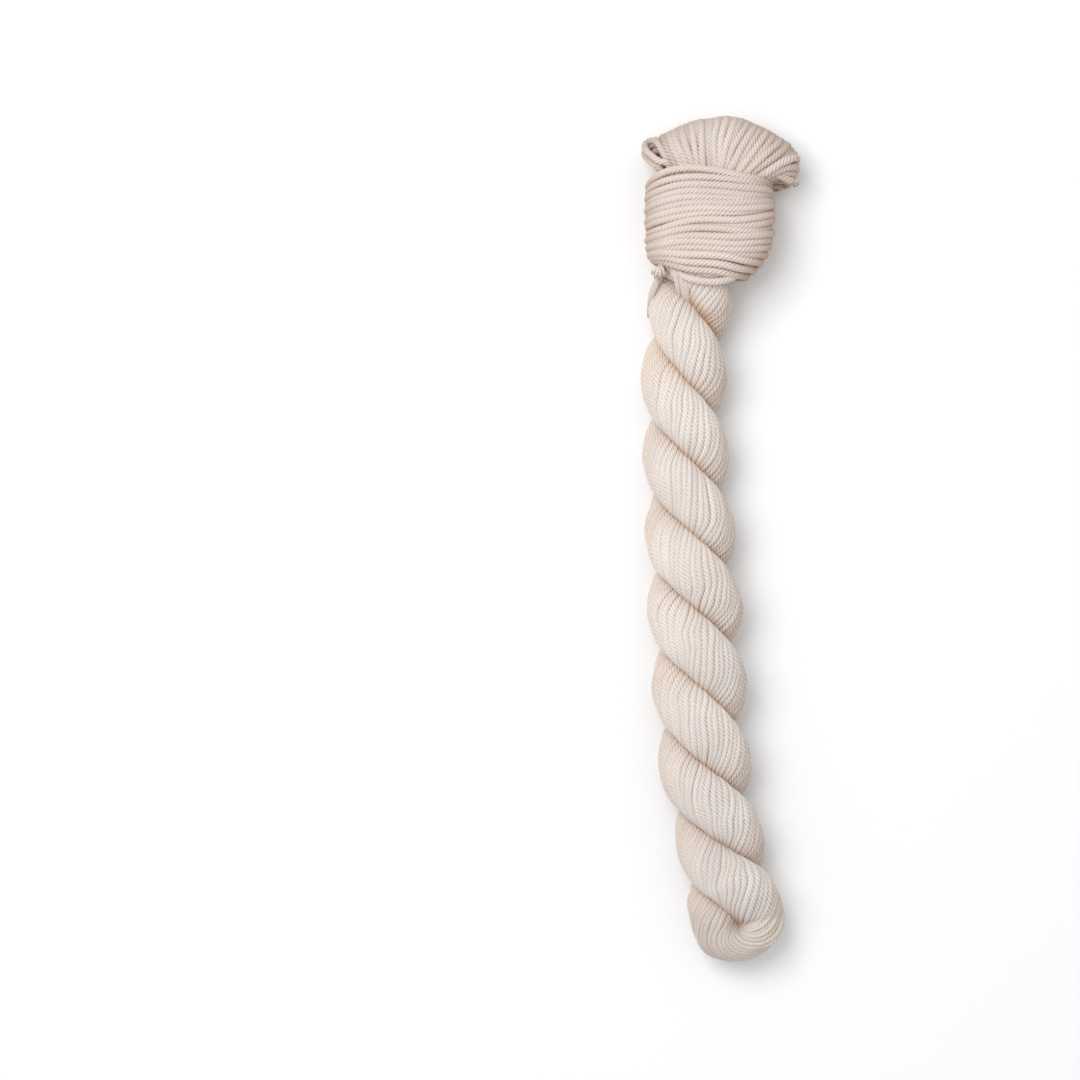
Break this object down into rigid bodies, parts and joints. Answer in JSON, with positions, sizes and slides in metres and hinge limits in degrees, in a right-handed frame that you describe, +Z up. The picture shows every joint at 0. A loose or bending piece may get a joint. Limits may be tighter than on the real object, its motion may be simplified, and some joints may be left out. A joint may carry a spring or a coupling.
{
  "type": "mini skein of yarn",
  "caption": "Small twisted hank of soft plied yarn, lying flat and closed by its own loops: a wound collar round the neck and the last loop opened like a fan over the head.",
  "frame": {"origin": "middle of the box round the hank, on the surface that it lies on", "axes": "+Y along the hank towards its head, +X to the right as seen from above, +Z up"},
  "size_m": [0.0478, 0.2544, 0.0309],
  "materials": {
    "yarn": "soft matte plied wool, undyed cream with a warm tint in the creases"
  },
  "bodies": {
    "root": {"hank": "yarn"}
  },
  "joints": []
}
